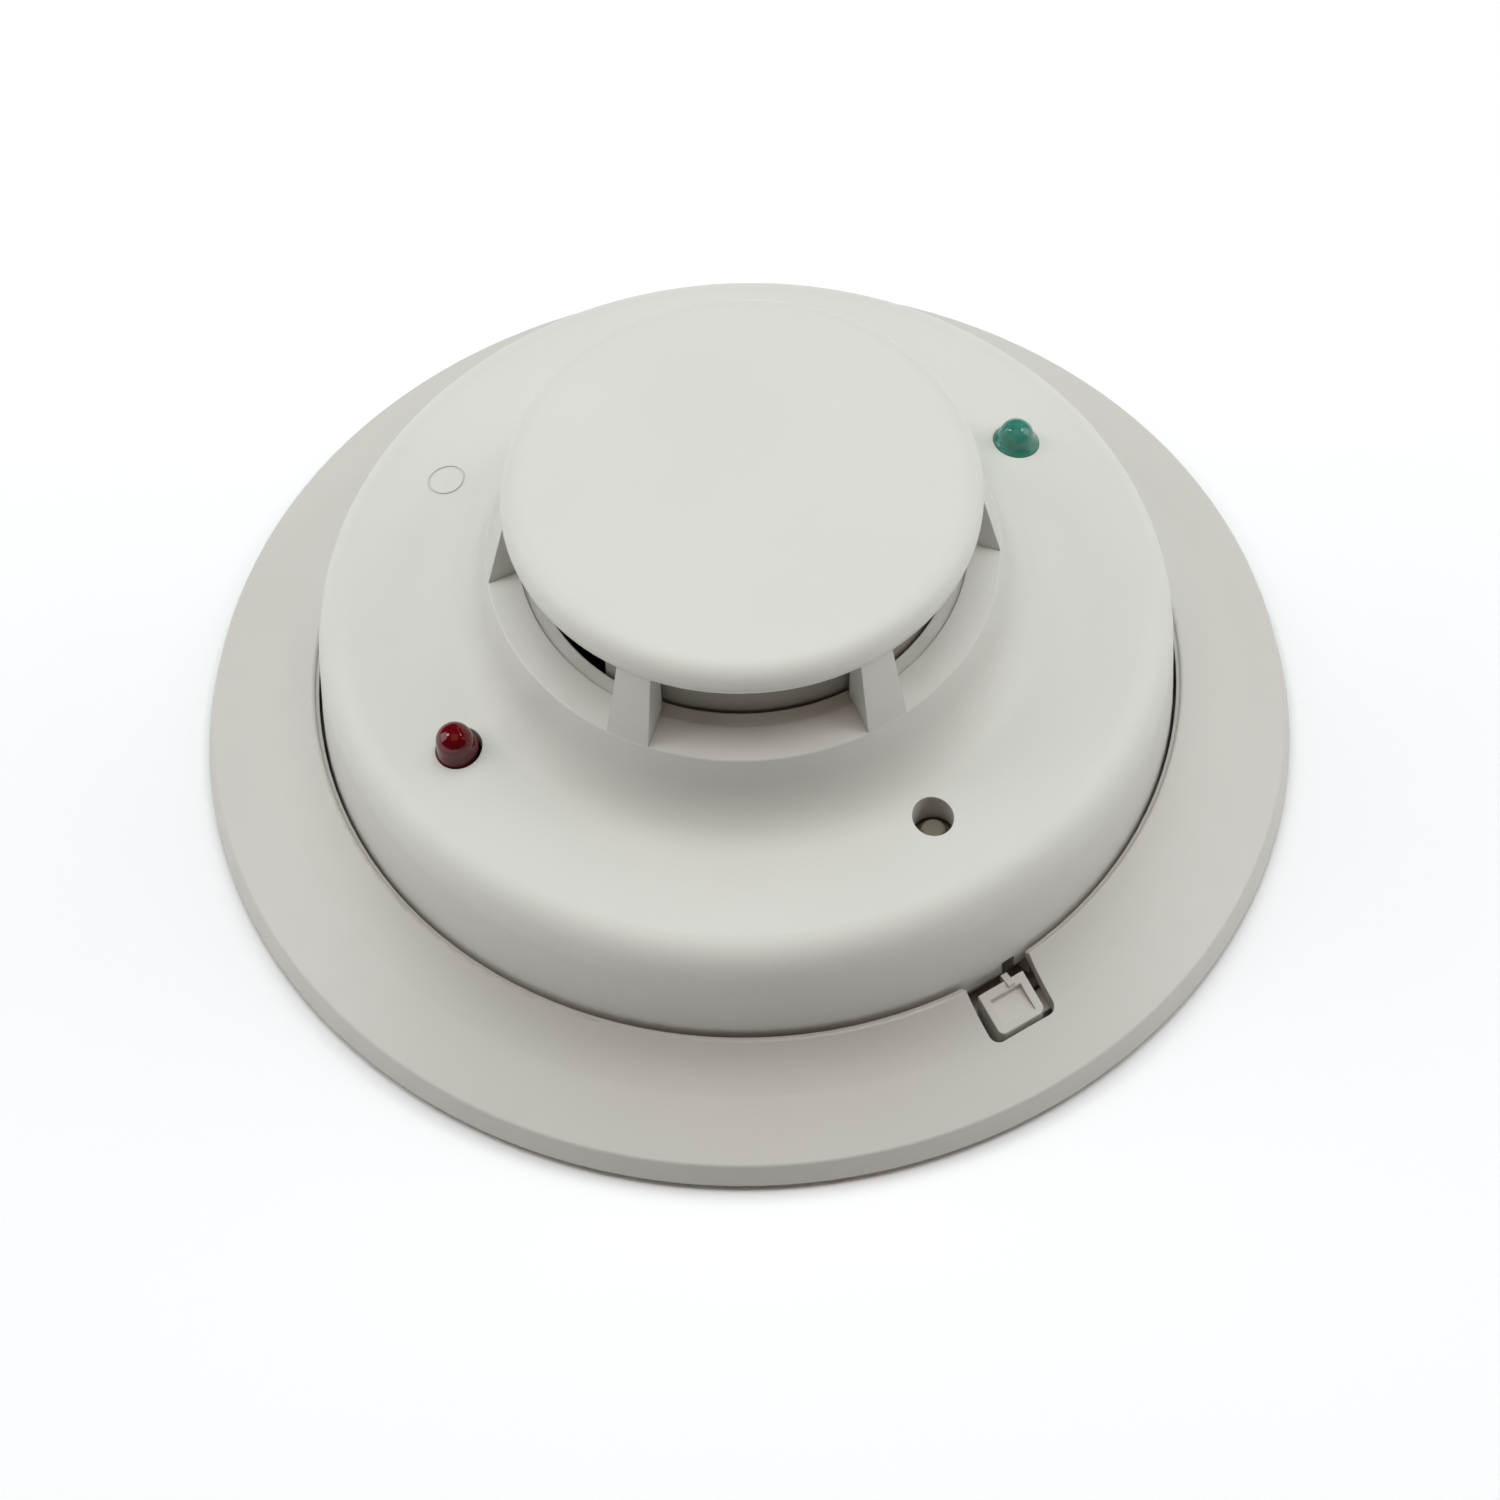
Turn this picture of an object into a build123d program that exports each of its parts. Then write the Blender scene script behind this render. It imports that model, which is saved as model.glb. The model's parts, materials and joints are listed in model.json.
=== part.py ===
"""Ceiling smoke detector: mounting base, twist-on head, optical chamber and circuit board.

Millimetres.  The origin is the middle of the base's back face, and +Z points out of the
base towards the cap of the cover.  The two lamps lie close to the X axis, and the test hole
and the release tab close to -Y.  Angles are in degrees about +Z, from +X.
"""
import os
from math import atan2, cos, degrees, radians, sin, tan

from build123d import *

os.makedirs("parts", exist_ok=True)

# ---- driving dimensions: base --------------------------------------------------------
BASE_RADIUS = 67.3
PLATE_TOP = 2.5
WIRE_OPENING_RADIUS = 16.0
RIM_TOP_RADIUS = 66.6
RIM_TOP = 3.23
RIM_ROUNDING = 0.5
FLANGE_BEND_RADIUS = 59.0
FLANGE_BEND_TOP = 7.0
FLANGE_INNER_RADIUS = 53.4
FLANGE_TOP = 11.5
LIP_ROUNDING = 0.3
LEDGE_RADIUS = 52.95
LEDGE_TOP = 10.5
LEDGE_BOTTOM = 9.3
RIM_INNER_RADIUS = 63.8
SKIN = 2.0

SCREW_PITCH_SHORT = 83.3
SCREW_PITCH_LONG = 88.9
MOUNT_SCREW_RADIUS = 2.3
SLOT_LENGTH = 8.0

# ---- bayonet between base and head -----------------------------------------------------
HOOK_ANGLES = (45.0, 165.0, 285.0)
HOOK_ARC = 14.0
HOOK_POST_INNER = 44.0
HOOK_POST_OUTER = 46.0
HOOK_LIP_OUTER = 48.2
HOOK_LIP_BOTTOM = 6.8
HOOK_TOP = 8.3
HOOK_STOP_ARC = 2.0
LUG_ARC = 12.0
LUG_INNER = 46.6
LUG_BOTTOM = 5.0
LUG_TOP = 6.4

# ---- terminals --------------------------------------------------------------------------
TERMINAL_ANGLES = (60.0, 120.0, 240.0, 300.0)
PAD_INNER = 21.0
PAD_OUTER = 38.0
PAD_WIDTH = 12.0
PAD_TOP = 4.5
CLIP_THICKNESS = 0.8
CLIP_ARC = 18.0
CLIP_TOP = 8.8
LEAF_THICKNESS = 0.5
TERMINAL_SCREW_RADIUS = 27.0
TERMINAL_THREAD_RADIUS = 1.5
TERMINAL_HEAD_RADIUS = 3.1
TERMINAL_HEAD_HEIGHT = 2.2
BLADE_INNER = 33.8
BLADE_OUTER = 34.6
BLADE_ARC = 7.0
BLADE_LEAD = 8.0
BLADE_BOTTOM = 5.8

# ---- release tab --------------------------------------------------------------------------
TAB_ANGLE = -90.0
TAB_OFFSET = 0.32
TAB_WIDTH = 6.5
TAB_INNER = 54.3
TAB_OUTER = 59.25
TAB_BOTTOM = 3.0
TAB_TOP_INNER = 9.6
TAB_TOP_OUTER = 7.15
TAB_RIM_WIDTH = 1.05
TAB_RECESS_DEPTH = 1.3
TAB_NOTCH_LEFT = 4.2
TAB_NOTCH_RIGHT = 5.05
TAB_NOTCH_OUTER = 59.75
TAB_NOTCH_ROUNDING = 1.3
TONGUE_INNER = 55.2
TONGUE_OUTER = 58.2
TONGUE_THICKNESS = 1.6
TONGUE_ARC = 15.5
FIT_GAP = 0.3
NIB_OFFSET = 1.4
NIB_WIDTH = 0.9
NIB_LENGTH = 0.9
NIB_HEIGHT = 1.4

# ---- head: rear housing and board ----------------------------------------------------------
HOUSING_RADIUS = 50.8
HOUSING_SKIRT_INNER = 48.9
HOUSING_SKIRT_OUTER = 50.5
HOUSING_SKIRT_BOTTOM = 4.0
HOUSING_BOTTOM = 9.2
HOUSING_TOP = 11.2
BOARD_RADIUS = 44.5
BOARD_BOTTOM = 13.0
BOARD_TOP = 14.6
BOARD_SCREW_ANGLES = (30.0, 150.0, 210.0, 330.0)
BOARD_SCREW_CIRCLE = 40.0
BOARD_THREAD_RADIUS = 1.05
BOARD_HEAD_RADIUS = 2.3
LABEL_RADIUS = 14.0
LABEL_THICKNESS = 0.15

# ---- head: cover ------------------------------------------------------------------------------
COVER_RADIUS = 52.7
COVER_BOTTOM = 4.4
COVER_WALL_TOP_RADIUS = 52.3
SHOULDER_START = 20.8
SHOULDER_RADIUS = 5.0
FACE_SLOPE = 12.0
NECK_FOOT_RADIUS = 38.0
NECK_WAIST_RADIUS = 32.0
NECK_WAIST_HEIGHT = 33.7
NECK_RADIUS = 31.1
NECK_INSIDE_MIDDLE = (32.9, 28.5)
SILL_EDGE_HEIGHT = 37.0
SILL_STEP_RADIUS = 27.2
SILL_STEP_HEIGHT = 38.6
SILL_STEP_DEPTH = 0.35
SILL_INNER_RADIUS = 25.6
SILL_INNER_HEIGHT = 38.95
SILL_ROUNDING = 0.35
COVER_WALL = 1.9
TAB_RELIEF_ANGLE = -89.6
TAB_RELIEF_ARC = 12.0
TAB_RELIEF_TOP = 8.4
NIB_NOTCH_ANGLE = -87.1
NIB_NOTCH_ARC = 2.0
NIB_NOTCH_TOP = 10.5
FACE_CUT_TOP = 30.5
MARK_ANGLE = 120.0
MARK_CIRCLE = 41.0
MARK_RADIUS = 2.35
MARK_DEPTH = 0.15
CAP_RADIUS = 28.9
CAP_WIDEST_HEIGHT = 48.6
CAP_FLAT_RADIUS = 25.7
CAP_TOP = 50.8
CAP_EDGE_MIDDLE = (28.0, 50.0)
CAP_UNDERSIDE = 47.0
CAP_UNDERSIDE_RADIUS = 28.0
CAP_UNDERSIDE_MIDDLE = (28.8, 47.6)
CAP_CAVITY_RADIUS = 24.2
CAP_CAVITY_TOP = 48.8
RIB_COUNT = 6
RIB_START = -90.0
RIB_FOOT_ARC = 10.2
RIB_TOP_ARC = 8.8
RIB_INNER = 26.2
RIB_SETBACK = 0.35

# ---- optical chamber -----------------------------------------------------------------------------
CHAMBER_RADIUS = 22.0
CHAMBER_WALL = 1.6
CHAMBER_FLOOR_BOTTOM = 28.5
CHAMBER_FLOOR = 30.5
CHAMBER_LEDGE_BOTTOM = 29.0
CHAMBER_LEDGE_RADIUS = 25.2
GUARD_INNER = 24.2
GUARD_TOP = 42.4
GUARD_NOTCH_BOTTOM = 33.0
GUARD_NOTCH_ARC = 32.0
HOLDER_INNER = 9.0
HOLDER_OUTER = 16.6
HOLDER_WIDTH = 8.0
HOLDER_TOP = 39.0
OPTIC_HEIGHT = 35.0
OPTIC_RADIUS = 2.5
EMITTER_ANGLE = 25.0
PHOTODIODE_ANGLE = 155.0
SHIELD_GAP = 0.2
SHIELD_THICKNESS = 0.3
VANE_COUNT = 30
VANE_INNER = 18.2
VANE_OUTER = 21.8
VANE_TOP = 46.0
VANE_FLOOR_THICKNESS = 0.8
VANE_HALF_WIDTH = 0.45
VANE_SWEEP = 8.0
SCREEN_INNER = 22.4
SCREEN_THICKNESS = 0.25
SCREEN_COLUMNS = 40
SCREEN_ROWS = 5
SCREEN_BORDER = 1.0
SCREEN_BAR = 0.5
FRAME_INNER = 22.0
CHAMBER_CAP_RADIUS = 23.2
CHAMBER_CAP_TOP = 47.2

# ---- lamps, test button --------------------------------------------------------------------------------
LAMP_CIRCLE = 40.75
LAMP_SIDE = 0.77
LAMP_RADIUS = 2.2
GREEN_DOME_HEIGHT = 28.3
RED_DOME_HEIGHT = 29.0
RED_LAMP_SHIFT = (-0.25, 0.16)
LAMP_SKIRT_RADIUS = 2.5
LAMP_SKIRT_TOP = 27.2
LAMP_BOTTOM = 21.1
LAMP_RIM_RADIUS = 2.9
LAMP_HOLE_RADIUS = 2.85
LEAD_PITCH = 2.54
LEAD_WIDTH = 0.5
LEAD_HOLE_RADIUS = 0.45
LEAD_BOTTOM = 12.0
TEST_CIRCLE = 39.7
TEST_SIDE = 0.5
TEST_HOLE_RADIUS = 2.5
TEST_BORE_RADIUS = 3.2
TEST_BORE_TOP = 23.7
TEST_TUBE_RADIUS = 4.4
TEST_TUBE_BOTTOM = 20.5
TEST_TUBE_TOP = 25.0
TEST_COLLAR_ARC = 13.0
PLUNGER_TIP_RADIUS = 1.5
PLUNGER_TOP = 24.9
PLUNGER_RADIUS = 3.0
PLUNGER_SHOULDER = 22.6
PLUNGER_RIM_RADIUS = 3.9
PLUNGER_RIM_BOTTOM = 19.2
PLUNGER_RIM_TOP = 20.2
PLUNGER_PIN_RADIUS = 0.9
PLUNGER_PIN_BOTTOM = 18.7
SPRING_RADIUS = 3.0
SPRING_WIRE_RADIUS = 0.25
SPRING_TURNS = 4
SWITCH_SIZE = 3.2
SWITCH_TOP = 16.4
SWITCH_ACTUATOR_TOP = 17.2


def place(radius, angle, height=0.0, turn=0.0):
    """Location at a radius and an angle, with local +X pointing outwards."""
    x = radius * cos(radians(angle))
    y = radius * sin(radians(angle))
    return Location((x, y, height), (0, 0, angle + turn))


def radial_plane(angle):
    """Upright plane through the Z axis: local X is the radius, and local Y is the height."""
    outwards = (cos(radians(angle)), sin(radians(angle)), 0)
    sideways = (sin(radians(angle)), -cos(radians(angle)), 0)
    return Plane(origin=(0, 0, 0), x_dir=outwards, z_dir=sideways)


def rectangle_points(inner, outer, bottom, top):
    """Corners of an upright section between two radii and two heights."""
    return [(inner, bottom), (outer, bottom), (outer, top), (inner, top)]


def sector(points, middle, arc, mode=Mode.ADD):
    """Sweep an upright section about Z, over an arc centred on an angle."""
    with BuildSketch(radial_plane(middle - arc / 2)) as section:
        with BuildLine():
            Polyline(*points, close=True)
        make_face()
    revolve(section.sketch, axis=Axis.Z, revolution_arc=arc, mode=mode)


def ring(inner, outer, bottom, top, mode=Mode.ADD):
    """Plain ring between two radii and two heights."""
    with BuildSketch(Plane.XY.offset(bottom)) as outline:
        Circle(outer)
        if inner > 0:
            Circle(inner, mode=Mode.SUBTRACT)
    extrude(outline.sketch, amount=top - bottom, mode=mode)


def sector_outline(inner, outer, middle, arc, height):
    """Level outline between two radii, over an arc centred on an angle."""
    with BuildSketch(Plane.XY.offset(height)) as outline:
        with BuildLine():
            near = CenterArc((0, 0), inner, middle - arc / 2, arc)
            far = CenterArc((0, 0), outer, middle - arc / 2, arc)
            Line(near @ 0, far @ 0)
            Line(near @ 1, far @ 1)
        make_face()
    return outline.sketch


def face_height(radius):
    """Height of the cover's sloping face at a radius."""
    return foot_height - (radius - NECK_FOOT_RADIUS) * tan(radians(FACE_SLOPE))


# ======================================================================================
# Base
# ======================================================================================
tab_root_angle = TAB_ANGLE + TONGUE_ARC
tongue_middle = TAB_ANGLE + TONGUE_ARC / 2
tongue_axis_height = TAB_BOTTOM + TONGUE_THICKNESS / 2

with BuildPart() as mounting_base:
    with BuildSketch(Plane.XZ) as base_section:
        with BuildLine():
            Polyline((WIRE_OPENING_RADIUS, 0), (BASE_RADIUS, 0), (RIM_TOP_RADIUS, RIM_TOP))
            flange_line = Line((RIM_TOP_RADIUS, RIM_TOP), (FLANGE_BEND_RADIUS, FLANGE_BEND_TOP))
            TangentArc(
                (FLANGE_BEND_RADIUS, FLANGE_BEND_TOP),
                (FLANGE_INNER_RADIUS, FLANGE_TOP),
                tangent=flange_line % 1,
            )
            Polyline(
                (FLANGE_INNER_RADIUS, FLANGE_TOP),
                (FLANGE_INNER_RADIUS, LEDGE_TOP),
                (LEDGE_RADIUS, LEDGE_TOP),
                (LEDGE_RADIUS, LEDGE_BOTTOM),
                (FLANGE_INNER_RADIUS + 0.4, FLANGE_TOP - SKIN - 0.6),
                (FLANGE_BEND_RADIUS - 0.86, FLANGE_BEND_TOP - 0.9 * SKIN),
                (RIM_INNER_RADIUS, PLATE_TOP),
                (WIRE_OPENING_RADIUS, PLATE_TOP),
                (WIRE_OPENING_RADIUS, 0),
            )
        make_face()
        rim_corner = base_section.vertices().sort_by_distance((RIM_TOP_RADIUS, RIM_TOP))[0]
        fillet(rim_corner, RIM_ROUNDING)
        lip_corner = base_section.vertices().sort_by_distance((FLANGE_INNER_RADIUS, FLANGE_TOP))[0]
        fillet(lip_corner, LIP_ROUNDING)
    revolve(axis=Axis.Z)
    # Bayonet hooks, each with a stop web on its clockwise side.
    for angle in HOOK_ANGLES:
        hook = [
            (HOOK_POST_INNER, PLATE_TOP - 0.5),
            (HOOK_POST_OUTER, PLATE_TOP - 0.5),
            (HOOK_POST_OUTER, HOOK_LIP_BOTTOM),
            (HOOK_LIP_OUTER, HOOK_LIP_BOTTOM),
            (HOOK_LIP_OUTER, HOOK_TOP),
            (HOOK_POST_INNER, HOOK_TOP),
        ]
        sector(hook, angle, HOOK_ARC)
        stop = rectangle_points(HOOK_POST_INNER, HOOK_LIP_OUTER, PLATE_TOP - 0.5, HOOK_TOP)
        sector(stop, angle - (HOOK_ARC + HOOK_STOP_ARC) / 2, HOOK_STOP_ARC)
    # Terminal pads.
    for angle in TERMINAL_ANGLES:
        with Locations(place((PAD_INNER + PAD_OUTER) / 2, angle, PLATE_TOP)):
            Box(
                PAD_OUTER - PAD_INNER,
                PAD_WIDTH,
                PAD_TOP - PLATE_TOP,
                align=(Align.CENTER, Align.CENTER, Align.MIN),
            )
        with Locations(place(TERMINAL_SCREW_RADIUS, angle, PAD_TOP)):
            Hole(TERMINAL_THREAD_RADIUS + 0.05, depth=PAD_TOP - 0.8)
    # Screw slots, running outwards.
    with BuildSketch(Plane.XY):
        with PolarLocations(SCREW_PITCH_SHORT / 2, 2):
            SlotOverall(SLOT_LENGTH, 2 * MOUNT_SCREW_RADIUS)
        with PolarLocations(SCREW_PITCH_LONG / 2, 2, start_angle=90):
            SlotOverall(SLOT_LENGTH, 2 * MOUNT_SCREW_RADIUS)
    extrude(amount=PLATE_TOP, mode=Mode.SUBTRACT)
    # Opening under the release tab and its tongue, and the notch above the tab.
    plate_opening = rectangle_points(TAB_INNER - 0.6, TAB_NOTCH_OUTER, -1, PLATE_TOP + 0.01)
    opening_start = TAB_ANGLE - 4.6
    opening_end = tab_root_angle + 1.1
    sector(plate_opening, (opening_start + opening_end) / 2, opening_end - opening_start, Mode.SUBTRACT)
    with BuildSketch(Plane.XY.offset(PLATE_TOP)) as tab_notch:
        with BuildLine():
            Polyline(
                (-TAB_NOTCH_LEFT, -FLANGE_INNER_RADIUS + 1.5),
                (-TAB_NOTCH_LEFT, -TAB_NOTCH_OUTER),
                (TAB_NOTCH_RIGHT, -TAB_NOTCH_OUTER),
                (TAB_NOTCH_RIGHT, -FLANGE_INNER_RADIUS + 1.5),
                close=True,
            )
        make_face()
        fillet(tab_notch.vertices().group_by(Axis.Y)[0], TAB_NOTCH_ROUNDING)
    extrude(amount=FLANGE_TOP, mode=Mode.SUBTRACT)
    # Block behind the tongue's root.
    root_block = rectangle_points(TONGUE_INNER - 0.2, TONGUE_OUTER + 0.2, PLATE_TOP - 0.5, 4.8)
    root_block_arc = 4.0
    root_gap_arc = 1.1
    sector(root_block, tab_root_angle + root_gap_arc + root_block_arc / 2, root_block_arc)

mounting_base.part.label = "mounting_base"
export_step(mounting_base.part, "parts/mounting_base.step")

# Release tab: a pad with a thumb recess that gets deeper inwards, on a springy tongue that
# runs round under the flange.
with BuildPart() as release_tab:
    with BuildSketch(Plane.YZ.offset(TAB_OFFSET - TAB_WIDTH / 2)):
        with BuildLine():
            Polyline(
                (-TAB_OUTER, TAB_BOTTOM),
                (-TAB_INNER, TAB_BOTTOM),
                (-TAB_INNER, TAB_TOP_INNER),
                (-TAB_OUTER, TAB_TOP_OUTER),
                close=True,
            )
        make_face()
    extrude(amount=TAB_WIDTH)
    fillet(release_tab.edges().filter_by(Axis.Z).group_by(Axis.Y)[0], 0.8)
    recess_width = TAB_WIDTH - 2 * TAB_RIM_WIDTH
    with BuildSketch(Plane.YZ.offset(TAB_OFFSET - recess_width / 2)):
        with BuildLine():
            Polyline(
                (-TAB_INNER - TAB_RIM_WIDTH, TAB_TOP_INNER + 1),
                (-TAB_INNER - TAB_RIM_WIDTH, TAB_TOP_INNER - TAB_RECESS_DEPTH),
                (-TAB_OUTER + 0.7, TAB_TOP_OUTER + 0.15),
                (-TAB_OUTER + 0.7, TAB_TOP_INNER + 1),
                close=True,
            )
        make_face()
    extrude(amount=recess_width, mode=Mode.SUBTRACT)
    # Break-off nib on the side of the head.
    with Locations((NIB_OFFSET, -TAB_INNER, TAB_TOP_INNER)):
        Box(NIB_WIDTH, 2 * NIB_LENGTH, NIB_HEIGHT, align=(Align.CENTER, Align.CENTER, Align.MAX))
    tongue = rectangle_points(TONGUE_INNER, TONGUE_OUTER, TAB_BOTTOM, TAB_BOTTOM + TONGUE_THICKNESS)
    sector(tongue, tongue_middle, TONGUE_ARC)
    with Locations(place(TONGUE_INNER + 0.05, tab_root_angle, tongue_axis_height)):
        Cylinder(
            TONGUE_THICKNESS / 2,
            TONGUE_OUTER - TONGUE_INNER - 0.1,
            rotation=(0, 90, 0),
            align=(Align.CENTER, Align.CENTER, Align.MIN),
        )

release_tab.part.label = "release_tab"
export_step(release_tab.part, "parts/release_tab.step")

# ======================================================================================
# Terminals
# ======================================================================================
clip_plate_top = PAD_TOP + CLIP_THICKNESS
washer_top = clip_plate_top + 0.8

for number, angle in enumerate(TERMINAL_ANGLES, start=1):
    with BuildPart() as terminal_clip:
        with Locations(place(23.0, angle, PAD_TOP)):
            Box(
                12.0, 8.0, CLIP_THICKNESS, align=(Align.MIN, Align.CENTER, Align.MIN)
            )
        clip_foot = rectangle_points(
            BLADE_INNER - FIT_GAP - LEAF_THICKNESS,
            BLADE_OUTER + FIT_GAP + LEAF_THICKNESS,
            PAD_TOP,
            clip_plate_top,
        )
        sector(clip_foot, angle, CLIP_ARC)
        inner_leaf = rectangle_points(
            BLADE_INNER - FIT_GAP - LEAF_THICKNESS, BLADE_INNER - FIT_GAP, clip_plate_top, CLIP_TOP
        )
        sector(inner_leaf, angle, CLIP_ARC)
        outer_leaf = rectangle_points(
            BLADE_OUTER + FIT_GAP, BLADE_OUTER + FIT_GAP + LEAF_THICKNESS, clip_plate_top, CLIP_TOP
        )
        sector(outer_leaf, angle, CLIP_ARC)
        with Locations(place(TERMINAL_SCREW_RADIUS, angle, clip_plate_top)):
            Hole(TERMINAL_THREAD_RADIUS + 0.3, depth=CLIP_THICKNESS)
    terminal_clip.part.label = f"terminal_clip_{number}"
    export_step(terminal_clip.part, f"parts/terminal_clip_{number}.step")

with BuildPart() as terminal_washers:
    for angle in TERMINAL_ANGLES:
        with Locations(place(TERMINAL_SCREW_RADIUS, angle, clip_plate_top)):
            Box(7.0, 7.0, 0.8, align=(Align.CENTER, Align.CENTER, Align.MIN))
        with Locations(place(TERMINAL_SCREW_RADIUS, angle, washer_top)):
            Hole(TERMINAL_THREAD_RADIUS + 0.3, depth=0.8)

terminal_washers.part.label = "terminal_washers"
export_step(terminal_washers.part, "parts/terminal_washers.step")

with BuildPart() as terminal_screws:
    for angle in TERMINAL_ANGLES:
        with Locations(place(TERMINAL_SCREW_RADIUS, angle, 1.0)):
            Cylinder(
                TERMINAL_THREAD_RADIUS, washer_top - 1.0, align=(Align.CENTER, Align.CENTER, Align.MIN)
            )
        with Locations(place(TERMINAL_SCREW_RADIUS, angle, washer_top)):
            Cylinder(
                TERMINAL_HEAD_RADIUS,
                TERMINAL_HEAD_HEIGHT,
                align=(Align.CENTER, Align.CENTER, Align.MIN),
            )
        with Locations(
            place(TERMINAL_SCREW_RADIUS, angle, washer_top + TERMINAL_HEAD_HEIGHT),
            place(TERMINAL_SCREW_RADIUS, angle, washer_top + TERMINAL_HEAD_HEIGHT, turn=90),
        ):
            Box(4.2, 0.9, 2.2, mode=Mode.SUBTRACT)

terminal_screws.part.label = "terminal_screws"
export_step(terminal_screws.part, "parts/terminal_screws.step")

# ======================================================================================
# Rear housing of the head, contact blades, label
# ======================================================================================
blade_offset = BLADE_ARC / 2 - BLADE_LEAD
pin_radius_on_board = 37.0

with BuildPart() as rear_housing:
    ring(0, HOUSING_RADIUS, HOUSING_BOTTOM, HOUSING_TOP)
    ring(HOUSING_SKIRT_INNER, HOUSING_SKIRT_OUTER, HOUSING_SKIRT_BOTTOM, HOUSING_BOTTOM)
    for angle in HOOK_ANGLES:
        lug = rectangle_points(LUG_INNER, HOUSING_SKIRT_INNER + 0.5, LUG_BOTTOM, LUG_TOP)
        sector(lug, angle, LUG_ARC)
    for angle in TERMINAL_ANGLES:
        blade_slot = rectangle_points(
            BLADE_INNER - 0.2, BLADE_OUTER + 0.2, HOUSING_BOTTOM - 0.1, HOUSING_TOP + 0.1
        )
        sector(blade_slot, angle + blade_offset, BLADE_ARC + 0.8, Mode.SUBTRACT)
    for angle in BOARD_SCREW_ANGLES:
        with Locations(place(BOARD_SCREW_CIRCLE, angle, HOUSING_TOP)):
            Cylinder(
                3.2, BOARD_BOTTOM - HOUSING_TOP, align=(Align.CENTER, Align.CENTER, Align.MIN)
            )
        with Locations(place(BOARD_SCREW_CIRCLE, angle, BOARD_BOTTOM)):
            Hole(BOARD_THREAD_RADIUS + 0.05, depth=3.2)

rear_housing.part.label = "rear_housing"
export_step(rear_housing.part, "parts/rear_housing.step")

with BuildPart() as rear_label:
    ring(0, LABEL_RADIUS, HOUSING_BOTTOM - LABEL_THICKNESS, HOUSING_BOTTOM)

rear_label.part.label = "rear_label"
export_step(rear_label.part, "parts/rear_label.step")

for number, angle in enumerate(TERMINAL_ANGLES, start=1):
    with BuildPart() as contact_blade:
        middle = angle + blade_offset
        foot_top = HOUSING_TOP + 0.8
        sector(rectangle_points(BLADE_INNER, BLADE_OUTER, BLADE_BOTTOM, foot_top), middle, BLADE_ARC)
        sector(rectangle_points(BLADE_OUTER - 0.1, 38.2, HOUSING_TOP, foot_top), middle, BLADE_ARC)
        with Locations(place(pin_radius_on_board, middle, foot_top)):
            Box(1.0, 1.0, 3.2, align=(Align.CENTER, Align.CENTER, Align.MIN))
    contact_blade.part.label = f"contact_blade_{number}"
    export_step(contact_blade.part, f"parts/contact_blade_{number}.step")

# ======================================================================================
# Circuit board and what stands on it
# ======================================================================================
lamp_angles = (0.0, 180.0)

with BuildPart() as circuit_board:
    ring(0, BOARD_RADIUS, BOARD_BOTTOM, BOARD_TOP)
    for angle in BOARD_SCREW_ANGLES:
        with Locations(place(BOARD_SCREW_CIRCLE, angle, BOARD_TOP)):
            Hole(BOARD_THREAD_RADIUS + 0.2, depth=BOARD_TOP - BOARD_BOTTOM)
    for angle in TERMINAL_ANGLES:
        with Locations(place(pin_radius_on_board, angle + blade_offset, BOARD_TOP)):
            Hole(0.85, depth=BOARD_TOP - BOARD_BOTTOM)
    for x in (-LAMP_CIRCLE, LAMP_CIRCLE):
        for y in (LAMP_SIDE - LEAD_PITCH / 2, LAMP_SIDE + LEAD_PITCH / 2):
            with Locations((x, y, BOARD_TOP)):
                Hole(LEAD_HOLE_RADIUS, depth=BOARD_TOP - BOARD_BOTTOM)

circuit_board.part.label = "circuit_board"
export_step(circuit_board.part, "parts/circuit_board.step")

with BuildPart() as board_screws:
    for angle in BOARD_SCREW_ANGLES:
        with Locations(place(BOARD_SCREW_CIRCLE, angle, 10.0)):
            Cylinder(
                BOARD_THREAD_RADIUS, BOARD_TOP - 10.0, align=(Align.CENTER, Align.CENTER, Align.MIN)
            )
        with Locations(place(BOARD_SCREW_CIRCLE, angle, BOARD_TOP)):
            Cylinder(BOARD_HEAD_RADIUS, 1.6, align=(Align.CENTER, Align.CENTER, Align.MIN))
        with Locations(
            place(BOARD_SCREW_CIRCLE, angle, BOARD_TOP + 1.6),
            place(BOARD_SCREW_CIRCLE, angle, BOARD_TOP + 1.6, turn=90),
        ):
            Box(2.8, 0.6, 1.4, mode=Mode.SUBTRACT)

board_screws.part.label = "board_screws"
export_step(board_screws.part, "parts/board_screws.step")


def box_on_board(length, width, height, radius, angle, turn=0.0, lift=0.0):
    """Block standing on the board, with its length across the radius."""
    with Locations(place(radius, angle, BOARD_TOP + lift, turn)):
        Box(width, length, height, align=(Align.CENTER, Align.CENTER, Align.MIN))


def can_on_board(radius_of_can, height, radius, angle):
    """Upright round can standing on the board."""
    with Locations(place(radius, angle, BOARD_TOP)):
        Cylinder(radius_of_can, height, align=(Align.CENTER, Align.CENTER, Align.MIN))


with BuildPart() as relay:
    box_on_board(15.0, 10.0, 8.0, 34.5, 90.0)
    fillet(relay.edges().filter_by(Axis.Z), 0.6)
    chamfer(relay.faces().sort_by(Axis.Z)[-1].edges(), 0.3)

relay.part.label = "relay"
export_step(relay.part, "parts/relay.step")

with BuildPart() as filter_capacitor:
    can_on_board(4.0, 8.0, 33.0, 138.0)
    fillet(filter_capacitor.faces().sort_by(Axis.Z)[-1].edges(), 0.5)

filter_capacitor.part.label = "filter_capacitor"
export_step(filter_capacitor.part, "parts/filter_capacitor.step")

with BuildPart() as reservoir_capacitor:
    can_on_board(3.15, 7.0, 31.0, 165.0)
    fillet(reservoir_capacitor.faces().sort_by(Axis.Z)[-1].edges(), 0.4)

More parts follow.
